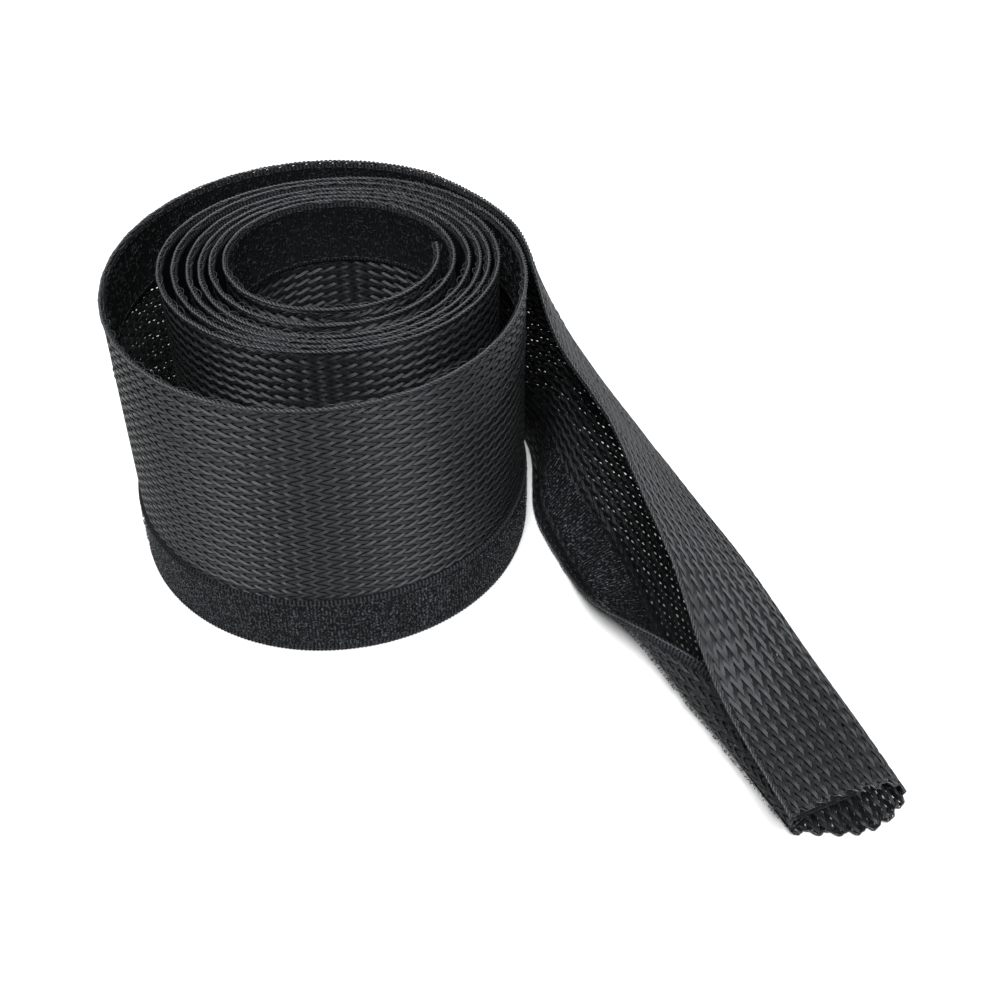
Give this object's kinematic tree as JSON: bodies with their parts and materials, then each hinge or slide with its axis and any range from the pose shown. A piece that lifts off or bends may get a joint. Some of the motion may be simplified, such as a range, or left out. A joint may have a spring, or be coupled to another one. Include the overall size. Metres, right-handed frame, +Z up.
{
  "type": "hook and loop cable sleeve",
  "caption": "Black braided cable sleeve with sewn hook and loop tapes, coiled on its edge, its free end closed to a flat tube.",
  "frame": {"origin": "on the floor, below the middle of the part's outline in plan", "axes": "+Z up across the standing band's width, +X to the right along the longest extent, +Y away from the free end"},
  "size_m": [0.2076, 0.1864, 0.085],
  "materials": {
    "braid": "satin",
    "hook_weave": "matte",
    "loop_weave": "matte"
  },
  "bodies": {
    "root": {"braided_sleeve": "braid", "hook_tape": "hook_weave", "loop_tape": "loop_weave"}
  },
  "joints": []
}
